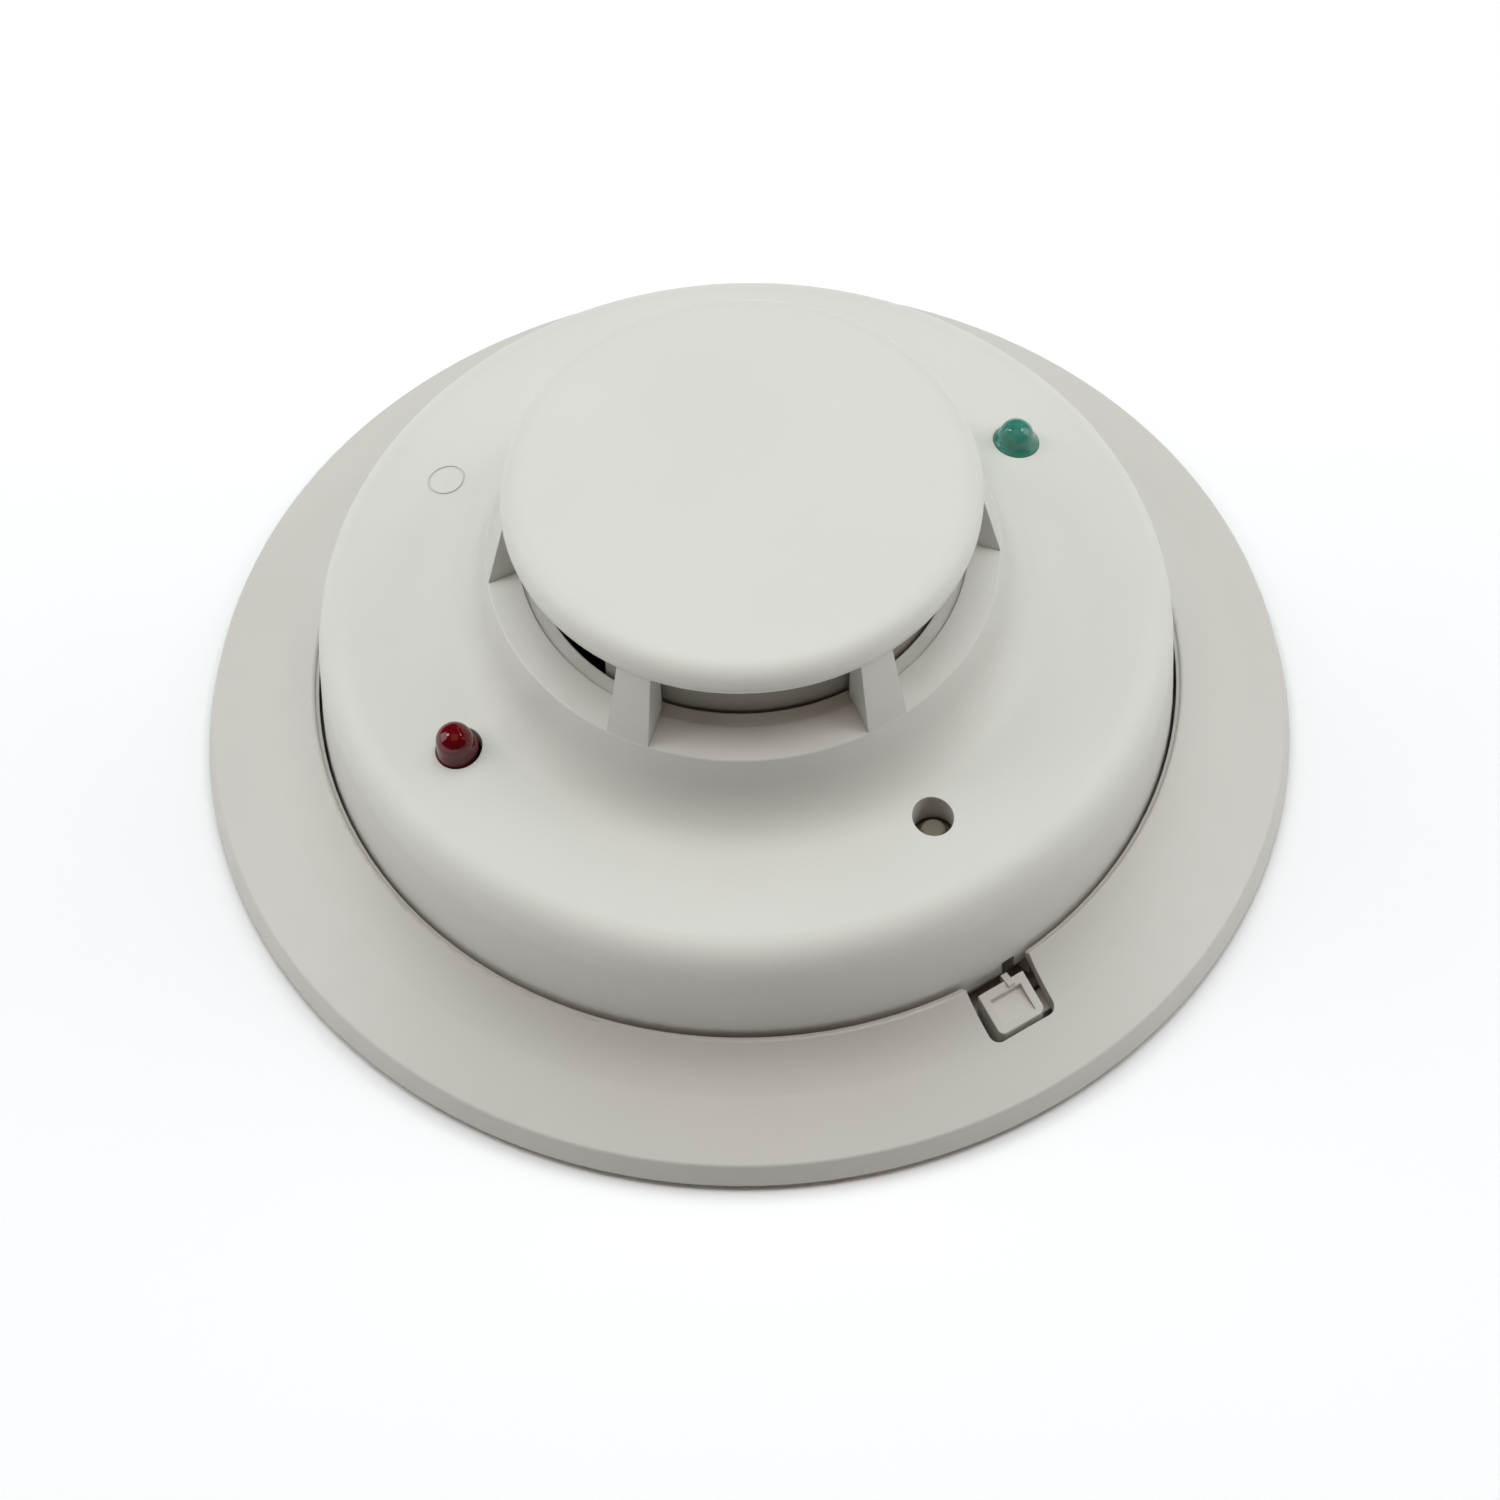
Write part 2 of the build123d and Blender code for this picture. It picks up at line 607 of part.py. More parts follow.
reservoir_capacitor.part.label = "reservoir_capacitor"
export_step(reservoir_capacitor.part, "parts/reservoir_capacitor.step")

with BuildPart() as surge_suppressor:
    suppressor_radius = 3.6
    with Locations(place(33.0, 38.0, BOARD_TOP + suppressor_radius + 0.8)):
        Cylinder(suppressor_radius, 3.6, rotation=(0, 90, 0))
    fillet(surge_suppressor.edges(), 0.9)
    for side in (-1, 1):
        with Locations(place(33.0, 38.0, LEAD_BOTTOM + 1.0)):
            with Locations((0, side * 1.8, 0)):
                Box(0.6, 0.6, 4.2, align=(Align.CENTER, Align.CENTER, Align.MIN))
    split(bisect_by=Plane.XY.offset(BOARD_TOP), keep=Keep.TOP)

surge_suppressor.part.label = "surge_suppressor"
export_step(surge_suppressor.part, "parts/surge_suppressor.step")

with BuildPart() as bridge_rectifier:
    box_on_board(8.4, 6.4, 3.0, 31.0, 14.0, lift=0.2)
    chamfer(bridge_rectifier.faces().sort_by(Axis.Z)[-1].edges(), 0.4)

bridge_rectifier.part.label = "bridge_rectifier"
export_step(bridge_rectifier.part, "parts/bridge_rectifier.step")

with BuildPart() as microcontroller:
    box_on_board(12.8, 7.4, 2.3, 32.0, 221.0, lift=0.2)
    chamfer(microcontroller.faces().sort_by(Axis.Z)[-1].edges(), 0.3)

microcontroller.part.label = "microcontroller"
export_step(microcontroller.part, "parts/microcontroller.step")

with BuildPart() as sensor_amplifier:
    box_on_board(4.9, 3.9, 1.5, 30.0, 193.0, lift=0.15)
    chamfer(sensor_amplifier.faces().sort_by(Axis.Z)[-1].edges(), 0.2)

sensor_amplifier.part.label = "sensor_amplifier"
export_step(sensor_amplifier.part, "parts/sensor_amplifier.step")

with BuildPart() as voltage_regulator:
    box_on_board(6.5, 3.5, 1.6, 31.0, 345.0, lift=0.1)
    chamfer(voltage_regulator.faces().sort_by(Axis.Z)[-1].edges(), 0.2)

voltage_regulator.part.label = "voltage_regulator"
export_step(voltage_regulator.part, "parts/voltage_regulator.step")

with BuildPart() as clock_resonator:
    box_on_board(5.0, 3.2, 1.4, 28.5, 252.0)
    fillet(clock_resonator.edges().filter_by(Axis.Z), 0.4)

clock_resonator.part.label = "clock_resonator"
export_step(clock_resonator.part, "parts/clock_resonator.step")

with BuildPart() as driver_transistors:
    for radius, angle in ((28.5, 276.0), (28.5, 290.0), (28.5, 318.0), (27.5, 68.0)):
        box_on_board(2.9, 1.4, 1.0, radius, angle, lift=0.1)

driver_transistors.part.label = "driver_transistors"
export_step(driver_transistors.part, "parts/driver_transistors.step")

# Gull-wing and flat pins: (component radius, angle, pins a side, pin pitch, half width, top of the pin).
PIN_ROWS = (
    (32.0, 221.0, 10, 1.2, 3.7, 1.3),
    (30.0, 193.0, 4, 1.2, 1.95, 0.9),
    (31.0, 14.0, 2, 5.0, 3.2, 1.5),
    (31.0, 345.0, 3, 2.2, 1.75, 0.9),
)
with BuildPart() as component_pins:
    for radius, angle, count, pitch, half_width, height in PIN_ROWS:
        for side in (-1, 1):
            for index in range(count):
                along = (index - (count - 1) / 2) * pitch
                with Locations(place(radius, angle, BOARD_TOP)):
                    with Locations((side * (half_width + 0.2), along, 0)):
                        Box(0.4, 0.45, height, align=(Align.CENTER, Align.CENTER, Align.MIN))
                    with Locations((side * (half_width + 0.75), along, 0)):
                        Box(0.9, 0.45, 0.2, align=(Align.CENTER, Align.CENTER, Align.MIN))

component_pins.part.label = "component_pins"
export_step(component_pins.part, "parts/component_pins.step")

RESISTOR_PLACES = [(26.5, 100 + 9 * step) for step in range(8)]
RESISTOR_PLACES += [(42.2, 205 + 6 * step) for step in range(9) if step != 1]
RESISTOR_PLACES += [(42.2, 293 + 6 * step) for step in range(5)]
with BuildPart() as chip_resistors:
    for radius, angle in RESISTOR_PLACES:
        box_on_board(2.0, 1.25, 0.5, radius, angle, turn=90)

chip_resistors.part.label = "chip_resistors"
export_step(chip_resistors.part, "parts/chip_resistors.step")

CAPACITOR_PLACES = [(26.0, 205 + 10 * step) for step in range(4)]
CAPACITOR_PLACES += [(36.5, 325 + 7 * step) for step in range(3)]
CAPACITOR_PLACES += [(42.2, 62 + 8 * step) for step in range(8)]
with BuildPart() as chip_capacitors:
    for radius, angle in CAPACITOR_PLACES:
        box_on_board(2.0, 1.25, 0.9, radius, angle, turn=90)

chip_capacitors.part.label = "chip_capacitors"
export_step(chip_capacitors.part, "parts/chip_capacitors.step")

# ======================================================================================
# Lamps
# ======================================================================================
lead_places = (LAMP_SIDE - LEAD_PITCH / 2, LAMP_SIDE + LEAD_PITCH / 2)

for name, x, dome_height, shift in (
    ("green", LAMP_CIRCLE, GREEN_DOME_HEIGHT, (0, 0)),
    ("red", -LAMP_CIRCLE, RED_DOME_HEIGHT, RED_LAMP_SHIFT),
):
    with BuildPart() as lamp:
        with Locations((x + shift[0], LAMP_SIDE + shift[1], LAMP_BOTTOM)):
            Cylinder(LAMP_RIM_RADIUS, 1.0, align=(Align.CENTER, Align.CENTER, Align.MIN))
            Cylinder(
                LAMP_SKIRT_RADIUS,
                LAMP_SKIRT_TOP - LAMP_BOTTOM,
                align=(Align.CENTER, Align.CENTER, Align.MIN),
            )
            Cylinder(
                LAMP_RADIUS,
                dome_height - LAMP_BOTTOM,
                align=(Align.CENTER, Align.CENTER, Align.MIN),
            )
        with Locations((x + shift[0], LAMP_SIDE + shift[1], dome_height)):
            Sphere(LAMP_RADIUS)
    lamp.part.label = f"{name}_lamp"
    export_step(lamp.part, f"parts/{name}_lamp.step")

    with BuildPart() as lamp_leads:
        with Locations((x, lead_places[0], LEAD_BOTTOM), (x, lead_places[1], LEAD_BOTTOM)):
            Box(
                LEAD_WIDTH,
                LEAD_WIDTH,
                LAMP_BOTTOM - LEAD_BOTTOM,
                align=(Align.CENTER, Align.CENTER, Align.MIN),
            )
    lamp_leads.part.label = f"{name}_lamp_leads"
    export_step(lamp_leads.part, f"parts/{name}_lamp_leads.step")

    with BuildPart() as lamp_spacer:
        with Locations((x, LAMP_SIDE, BOARD_TOP)):
            Cylinder(
                LAMP_RIM_RADIUS,
                LAMP_BOTTOM - BOARD_TOP,
                align=(Align.CENTER, Align.CENTER, Align.MIN),
            )
        with Locations((x, lead_places[0], LAMP_BOTTOM), (x, lead_places[1], LAMP_BOTTOM)):
            Hole(LEAD_HOLE_RADIUS, depth=LAMP_BOTTOM - BOARD_TOP)
    lamp_spacer.part.label = f"{name}_lamp_spacer"
    export_step(lamp_spacer.part, f"parts/{name}_lamp_spacer.step")

# ======================================================================================
# Test button
# ======================================================================================
with BuildPart() as test_plunger:
    with Locations((TEST_SIDE, -TEST_CIRCLE, PLUNGER_RIM_BOTTOM)):
        Cylinder(
            PLUNGER_RIM_RADIUS,
            PLUNGER_RIM_TOP - PLUNGER_RIM_BOTTOM,
            align=(Align.CENTER, Align.CENTER, Align.MIN),
        )
        Cylinder(
            PLUNGER_RADIUS,
            PLUNGER_SHOULDER - PLUNGER_RIM_BOTTOM,
            align=(Align.CENTER, Align.CENTER, Align.MIN),
        )
        Cylinder(
            PLUNGER_TIP_RADIUS,
            PLUNGER_TOP - PLUNGER_RIM_BOTTOM,
            align=(Align.CENTER, Align.CENTER, Align.MIN),
        )
    chamfer(test_plunger.faces().sort_by(Axis.Z)[-1].edges(), 0.25)
    with Locations((TEST_SIDE, -TEST_CIRCLE, PLUNGER_PIN_BOTTOM)):
        Cylinder(
            PLUNGER_PIN_RADIUS,
            PLUNGER_RIM_BOTTOM - PLUNGER_PIN_BOTTOM,
            align=(Align.CENTER, Align.CENTER, Align.MIN),
        )

test_plunger.part.label = "test_plunger"
export_step(test_plunger.part, "parts/test_plunger.step")

spring_bottom = BOARD_TOP + SPRING_WIRE_RADIUS
spring_top = PLUNGER_RIM_BOTTOM - SPRING_WIRE_RADIUS
with BuildPart() as test_spring:
    with BuildLine() as coil:
        Helix(
            pitch=(spring_top - spring_bottom) / SPRING_TURNS,
            height=spring_top - spring_bottom,
            radius=SPRING_RADIUS,
            center=(TEST_SIDE, -TEST_CIRCLE, spring_bottom),
        )
    with BuildSketch(Plane(origin=coil.line @ 0, z_dir=coil.line % 0)):
        Circle(SPRING_WIRE_RADIUS)
    sweep(path=coil.line, is_frenet=True)

test_spring.part.label = "test_spring"
export_step(test_spring.part, "parts/test_spring.step")

with BuildPart() as test_switch:
    with Locations((TEST_SIDE, -TEST_CIRCLE, BOARD_TOP)):
        Box(
            SWITCH_SIZE,
            SWITCH_SIZE,
            SWITCH_TOP - BOARD_TOP,
            align=(Align.CENTER, Align.CENTER, Align.MIN),
        )
        Cylinder(
            0.9, SWITCH_ACTUATOR_TOP - BOARD_TOP, align=(Align.CENTER, Align.CENTER, Align.MIN)
        )

test_switch.part.label = "test_switch"
export_step(test_switch.part, "parts/test_switch.step")

# ======================================================================================
# Optical chamber
# ======================================================================================
optic_length = 7.4
optic_rear = HOLDER_OUTER - 0.4
lead_radius = HOLDER_OUTER + 0.5


with BuildPart() as chamber_base:
    ring(CHAMBER_RADIUS - CHAMBER_WALL, CHAMBER_RADIUS, BOARD_TOP, CHAMBER_FLOOR_BOTTOM)
    ring(0, CHAMBER_RADIUS, CHAMBER_FLOOR_BOTTOM, CHAMBER_FLOOR)
    ring(CHAMBER_RADIUS - 0.5, CHAMBER_LEDGE_RADIUS, CHAMBER_LEDGE_BOTTOM, CHAMBER_FLOOR)
    for angle in (EMITTER_ANGLE, PHOTODIODE_ANGLE):
        with Locations(place(HOLDER_INNER, angle, CHAMBER_FLOOR)):
            Box(
                HOLDER_OUTER - HOLDER_INNER,
                HOLDER_WIDTH,
                HOLDER_TOP - CHAMBER_FLOOR,
                align=(Align.MIN, Align.CENTER, Align.MIN),
            )
        with BuildSketch(Plane(place(0, angle, OPTIC_HEIGHT) * Location((0, 0, 0), (0, 90, 0)))):
            Circle(OPTIC_RADIUS + 0.1)
        extrude(amount=HOLDER_OUTER + 1, mode=Mode.SUBTRACT)
        with Locations(place(lead_radius, angle, CHAMBER_FLOOR)):
            Box(1.2, LEAD_PITCH + 1.2, 8.0, mode=Mode.SUBTRACT)

chamber_base.part.label = "chamber_base"
export_step(chamber_base.part, "parts/chamber_base.step")

for name, angle in (("infrared_emitter", EMITTER_ANGLE), ("photodiode", PHOTODIODE_ANGLE)):
    with BuildPart() as sensor:
        dome_centre = optic_rear - optic_length + OPTIC_RADIUS
        with BuildSketch(radial_plane(angle)):
            with BuildLine():
                Line((optic_rear, OPTIC_HEIGHT), (dome_centre - OPTIC_RADIUS, OPTIC_HEIGHT))
                RadiusArc(
                    (dome_centre - OPTIC_RADIUS, OPTIC_HEIGHT),
                    (dome_centre, OPTIC_HEIGHT + OPTIC_RADIUS),
                    OPTIC_RADIUS,
                )
                Polyline(
                    (dome_centre, OPTIC_HEIGHT + OPTIC_RADIUS),
                    (optic_rear, OPTIC_HEIGHT + OPTIC_RADIUS),
                    (optic_rear, OPTIC_HEIGHT),
                )
            make_face()
        optic_axis = Axis((0, 0, OPTIC_HEIGHT), (cos(radians(angle)), sin(radians(angle)), 0))
        revolve(axis=optic_axis)
        for side in (-1, 1):
            with Locations(place(optic_rear, angle, OPTIC_HEIGHT)):
                with Locations((0, side * LEAD_PITCH / 2, 0)):
                    Box(
                        lead_radius - optic_rear,
                        LEAD_WIDTH,
                        LEAD_WIDTH,
                        align=(Align.MIN, Align.CENTER, Align.CENTER),
                    )
            with Locations(place(lead_radius, angle, BOARD_TOP)):
                with Locations((0, side * LEAD_PITCH / 2, 0)):
                    Box(
                        LEAD_WIDTH,
                        LEAD_WIDTH,
                        OPTIC_HEIGHT + LEAD_WIDTH / 2 - BOARD_TOP,
                        align=(Align.CENTER, Align.CENTER, Align.MIN),
                    )
    sensor.part.label = name
    export_step(sensor.part, f"parts/{name}.step")

# Folded shield over the photodiode's holder, open towards the middle and below.
with BuildPart() as photodiode_shield:
    shield_inside = HOLDER_WIDTH + 2 * SHIELD_GAP
    shield_outside = shield_inside + 2 * SHIELD_THICKNESS
    shield_length = HOLDER_OUTER - HOLDER_INNER - 1.0
    with Locations(place(HOLDER_INNER + 0.5, PHOTODIODE_ANGLE, CHAMBER_FLOOR)):
        Box(
            shield_length,
            shield_outside,
            HOLDER_TOP + SHIELD_GAP + SHIELD_THICKNESS - CHAMBER_FLOOR,
            align=(Align.MIN, Align.CENTER, Align.MIN),
        )
        Box(
            shield_length,
            shield_inside,
            HOLDER_TOP + SHIELD_GAP - CHAMBER_FLOOR,
            align=(Align.MIN, Align.CENTER, Align.MIN),
            mode=Mode.SUBTRACT,
        )

photodiode_shield.part.label = "photodiode_shield"
export_step(photodiode_shield.part, "parts/photodiode_shield.step")


def vane_outline():
    """Corners of one chevron vane, seen from above, pointing along +X."""
    middle = (VANE_INNER + VANE_OUTER) / 2
    bend = middle * sin(radians(VANE_SWEEP / 2))
    return [
        (VANE_INNER + 0.1, -bend - VANE_HALF_WIDTH),
        (middle, bend - VANE_HALF_WIDTH),
        (VANE_OUTER - 0.2, -bend - VANE_HALF_WIDTH),
        (VANE_OUTER - 0.2, -bend + VANE_HALF_WIDTH),
        (middle, bend + VANE_HALF_WIDTH),
        (VANE_INNER + 0.1, -bend + VANE_HALF_WIDTH),
    ]


with BuildPart() as chamber_labyrinth:
    ring(VANE_INNER, VANE_OUTER, CHAMBER_FLOOR, CHAMBER_FLOOR + VANE_FLOOR_THICKNESS)
    with BuildSketch(Plane.XY.offset(CHAMBER_FLOOR)):
        with PolarLocations(0, VANE_COUNT):
            Polygon(*vane_outline(), align=None)
    extrude(amount=VANE_TOP - CHAMBER_FLOOR)

chamber_labyrinth.part.label = "chamber_labyrinth"
export_step(chamber_labyrinth.part, "parts/chamber_labyrinth.step")

# Frame of the insect screen: two hoops and six posts.
with BuildPart() as screen_frame:
    ring(FRAME_INNER, SCREEN_INNER, CHAMBER_FLOOR, CHAMBER_FLOOR + SCREEN_BORDER)
    ring(FRAME_INNER, SCREEN_INNER, VANE_TOP - SCREEN_BORDER, VANE_TOP)
    for index in range(RIB_COUNT):
        post = rectangle_points(FRAME_INNER, SCREEN_INNER, CHAMBER_FLOOR, VANE_TOP)
        sector(post, RIB_START + 60 * index, 3.0)

screen_frame.part.label = "screen_frame"
export_step(screen_frame.part, "parts/screen_frame.step")

with BuildPart() as insect_screen:
    ring(SCREEN_INNER, SCREEN_INNER + SCREEN_THICKNESS, CHAMBER_FLOOR, VANE_TOP)
    screen_height = VANE_TOP - CHAMBER_FLOOR - 2 * SCREEN_BORDER
    hole_height = (screen_height - SCREEN_BAR * (SCREEN_ROWS - 1)) / SCREEN_ROWS
    hole_width = 2.6
    for row in range(SCREEN_ROWS):
        bottom = CHAMBER_FLOOR + SCREEN_BORDER + row * (hole_height + SCREEN_BAR)
        with BuildSketch(Plane.XY.offset(bottom)):
            with PolarLocations(SCREEN_INNER, SCREEN_COLUMNS):
                Rectangle(2.0, hole_width)
        extrude(amount=hole_height, mode=Mode.SUBTRACT)

insect_screen.part.label = "insect_screen"
export_step(insect_screen.part, "parts/insect_screen.step")

with BuildPart() as chamber_cap:
    ring(0, CHAMBER_CAP_RADIUS, VANE_TOP, CHAMBER_CAP_TOP)
    for radius in (6.0, 11.0, 16.0):
        ring(radius, radius + 0.8, VANE_TOP - 1.0, VANE_TOP)

chamber_cap.part.label = "chamber_cap"
export_step(chamber_cap.part, "parts/chamber_cap.step")

# Guard ring round the screen, with a notch on each side where the lamps are.
with BuildPart() as dust_guard:
    ring(GUARD_INNER, CHAMBER_LEDGE_RADIUS, CHAMBER_FLOOR, GUARD_TOP)
    notch = rectangle_points(GUARD_INNER - 1, CHAMBER_LEDGE_RADIUS + 1, GUARD_NOTCH_BOTTOM, GUARD_TOP + 1)
    for angle in lamp_angles:
        sector(notch, angle, GUARD_NOTCH_ARC, Mode.SUBTRACT)

dust_guard.part.label = "dust_guard"
export_step(dust_guard.part, "parts/dust_guard.step")

# ======================================================================================
# Cover: skirt, face, neck, ribs and cap in one moulding
# ======================================================================================
wall_lean = degrees(atan2(COVER_RADIUS - COVER_WALL_TOP_RADIUS, SHOULDER_START - COVER_BOTTOM))

with BuildPart() as cover:
    with BuildSketch(Plane.XZ) as cover_section:
        with BuildLine():
            wall = Line((COVER_RADIUS, COVER_BOTTOM), (COVER_WALL_TOP_RADIUS, SHOULDER_START))
            shoulder = JernArc(
                start=wall @ 1,
                tangent=wall % 1,
                radius=SHOULDER_RADIUS,
                arc_size=90 - FACE_SLOPE - wall_lean,
            )
            face_edge = shoulder @ 1
            foot_height = face_edge.Y + (face_edge.X - NECK_FOOT_RADIUS) * tan(radians(FACE_SLOPE))
            face = Line(face_edge, (NECK_FOOT_RADIUS, foot_height))
            TangentArc(
                (NECK_FOOT_RADIUS, foot_height),
                (NECK_WAIST_RADIUS, NECK_WAIST_HEIGHT),
                tangent=face % 1,
            )
            Polyline(
                (NECK_WAIST_RADIUS, NECK_WAIST_HEIGHT),
                (NECK_RADIUS, SILL_EDGE_HEIGHT),
                (SILL_STEP_RADIUS, SILL_STEP_HEIGHT),
                (SILL_STEP_RADIUS - 0.1, SILL_STEP_HEIGHT - SILL_STEP_DEPTH),
                (SILL_INNER_RADIUS, SILL_INNER_HEIGHT),
                (SILL_INNER_RADIUS, SILL_INNER_HEIGHT - COVER_WALL),
                (NECK_RADIUS - COVER_WALL, SILL_EDGE_HEIGHT - COVER_WALL),
                (NECK_WAIST_RADIUS - COVER_WALL, NECK_WAIST_HEIGHT - 0.5),
            )
            ThreePointArc(
                (NECK_WAIST_RADIUS - COVER_WALL, NECK_WAIST_HEIGHT - 0.5),
                NECK_INSIDE_MIDDLE,
                (NECK_FOOT_RADIUS - 0.8, foot_height - 1.8),
            )
            Line(
                (NECK_FOOT_RADIUS - 0.8, foot_height - 1.8),
                (face_edge.X - 0.4, face_edge.Y - COVER_WALL),
            )
            ThreePointArc(
                (face_edge.X - 0.4, face_edge.Y - COVER_WALL),
                (HOUSING_RADIUS - 0.85, SHOULDER_START + 1.3),
                (HOUSING_RADIUS, SHOULDER_START - 1.2),
            )
            Polyline(
                (HOUSING_RADIUS, SHOULDER_START - 1.2),
                (HOUSING_RADIUS, COVER_BOTTOM),
                (COVER_RADIUS, COVER_BOTTOM),
            )
        make_face()
        sill_corner = cover_section.vertices().sort_by_distance((NECK_RADIUS, SILL_EDGE_HEIGHT))[0]
        fillet(sill_corner, SILL_ROUNDING)
    revolve(axis=Axis.Z)
    # Cap, hollow above the chamber.
    with BuildSketch(Plane.XZ):
        with BuildLine():
            Polyline((0, CAP_CAVITY_TOP), (0, CAP_TOP), (CAP_FLAT_RADIUS, CAP_TOP))
            ThreePointArc(
                (CAP_FLAT_RADIUS, CAP_TOP), CAP_EDGE_MIDDLE, (CAP_RADIUS, CAP_WIDEST_HEIGHT)
            )
            ThreePointArc(
                (CAP_RADIUS, CAP_WIDEST_HEIGHT),
                CAP_UNDERSIDE_MIDDLE,
                (CAP_UNDERSIDE_RADIUS, CAP_UNDERSIDE),
            )
            Polyline(
                (CAP_UNDERSIDE_RADIUS, CAP_UNDERSIDE),
                (CAP_CAVITY_RADIUS, CAP_UNDERSIDE),
                (CAP_CAVITY_RADIUS, CAP_CAVITY_TOP),
                (0, CAP_CAVITY_TOP),
            )
        make_face()
    revolve(axis=Axis.Z)
    # Ribs between the neck and the cap, a little wider at the foot and just inside the cap's edge.
    for index in range(RIB_COUNT):
        rib_angle = RIB_START + 360 / RIB_COUNT * index
        foot = sector_outline(RIB_INNER, NECK_RADIUS - 0.05, rib_angle, RIB_FOOT_ARC, SILL_EDGE_HEIGHT - 0.1)
        rib_outer = CAP_RADIUS - RIB_SETBACK
        head = sector_outline(RIB_INNER, rib_outer, rib_angle, RIB_TOP_ARC, CAP_WIDEST_HEIGHT - 0.1)
        loft([foot, head])
    # Tube that guides the test plunger, closed against the sloping face.
    tube_inner = TEST_CIRCLE - TEST_TUBE_RADIUS
    tube_outer = TEST_CIRCLE + TEST_TUBE_RADIUS
    with Locations((TEST_SIDE, -TEST_CIRCLE, TEST_TUBE_BOTTOM)):
        Cylinder(
            TEST_TUBE_RADIUS,
            TEST_TUBE_TOP - TEST_TUBE_BOTTOM,
            align=(Align.CENTER, Align.CENTER, Align.MIN),
        )
    tube_collar = [
        (tube_inner, TEST_TUBE_TOP - 0.1),
        (tube_outer, TEST_TUBE_TOP - 0.1),
        (tube_outer, face_height(tube_outer) - 0.5),
        (NECK_FOOT_RADIUS, foot_height - 0.5),
        (tube_inner, foot_height + 0.3),
    ]
    sector(tube_collar, degrees(atan2(-TEST_CIRCLE, TEST_SIDE)), TEST_COLLAR_ARC)
    with Locations((TEST_SIDE, -TEST_CIRCLE, TEST_TUBE_BOTTOM - 0.1)):
        Cylinder(
            TEST_BORE_RADIUS,
            TEST_BORE_TOP - TEST_TUBE_BOTTOM + 0.1,
            align=(Align.CENTER, Align.CENTER, Align.MIN),
            mode=Mode.SUBTRACT,
        )
        Cylinder(
            TEST_HOLE_RADIUS,
            FACE_CUT_TOP - TEST_TUBE_BOTTOM,
            align=(Align.CENTER, Align.CENTER, Align.MIN),
            mode=Mode.SUBTRACT,
        )
    # Relief in the skirt's lower edge behind the release tab, and the slot for the tab's nib.
    skirt_inside = HOUSING_RADIUS - 0.4
    tab_relief = rectangle_points(skirt_inside, COVER_RADIUS + 1, COVER_BOTTOM - 1, TAB_RELIEF_TOP)
    sector(tab_relief, TAB_RELIEF_ANGLE, TAB_RELIEF_ARC, Mode.SUBTRACT)
    nib_notch = rectangle_points(skirt_inside, COVER_RADIUS + 1, COVER_BOTTOM - 1, NIB_NOTCH_TOP)
    sector(nib_notch, NIB_NOTCH_ANGLE, NIB_NOTCH_ARC, Mode.SUBTRACT)
    # Lamp holes.
    with Locations((LAMP_CIRCLE, LAMP_SIDE, HOUSING_TOP), (-LAMP_CIRCLE, LAMP_SIDE, HOUSING_TOP)):
        Cylinder(
            LAMP_HOLE_RADIUS,
            FACE_CUT_TOP - HOUSING_TOP,
            align=(Align.CENTER, Align.CENTER, Align.MIN),
            mode=Mode.SUBTRACT,
        )
    # Faint moulded ring on the face.
    mark_place = place(MARK_CIRCLE, MARK_ANGLE, face_height(MARK_CIRCLE))
    with BuildSketch(Plane(mark_place * Location((0, 0, 0), (0, FACE_SLOPE, 0)))):
        Circle(MARK_RADIUS)
        Circle(MARK_RADIUS - 0.25, mode=Mode.SUBTRACT)
    extrude(amount=MARK_DEPTH, both=True, mode=Mode.SUBTRACT)

cover.part.label = "cover"
export_step(cover.part, "parts/cover.step")
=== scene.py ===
"""Looks of the smoke detector: materials, fine pieces, floor, lights and camera.

Metres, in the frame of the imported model: +Z out of the base towards the cap.
"""
import json
from math import cos, pi, radians, sin

import bpy
from mathutils import Matrix, Vector


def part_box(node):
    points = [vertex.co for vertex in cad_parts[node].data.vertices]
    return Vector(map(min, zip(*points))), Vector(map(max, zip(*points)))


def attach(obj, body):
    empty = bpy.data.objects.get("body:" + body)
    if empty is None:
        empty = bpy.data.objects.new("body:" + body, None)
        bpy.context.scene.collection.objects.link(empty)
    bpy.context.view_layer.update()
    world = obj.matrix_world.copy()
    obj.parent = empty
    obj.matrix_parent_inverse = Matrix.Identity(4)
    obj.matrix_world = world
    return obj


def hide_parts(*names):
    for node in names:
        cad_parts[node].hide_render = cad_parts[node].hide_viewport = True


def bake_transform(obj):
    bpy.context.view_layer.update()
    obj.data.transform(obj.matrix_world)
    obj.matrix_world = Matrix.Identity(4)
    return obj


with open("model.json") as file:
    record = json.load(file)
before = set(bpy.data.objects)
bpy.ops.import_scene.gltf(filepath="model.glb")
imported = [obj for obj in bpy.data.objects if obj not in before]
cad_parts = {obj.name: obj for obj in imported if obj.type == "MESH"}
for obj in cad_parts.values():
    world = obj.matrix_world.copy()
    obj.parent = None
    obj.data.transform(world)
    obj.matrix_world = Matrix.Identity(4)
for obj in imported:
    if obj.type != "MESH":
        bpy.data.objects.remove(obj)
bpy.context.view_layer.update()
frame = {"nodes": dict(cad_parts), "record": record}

MM = 0.001
# Radius over which the shading softens a moulded edge.
EDGE_MM = 0.18


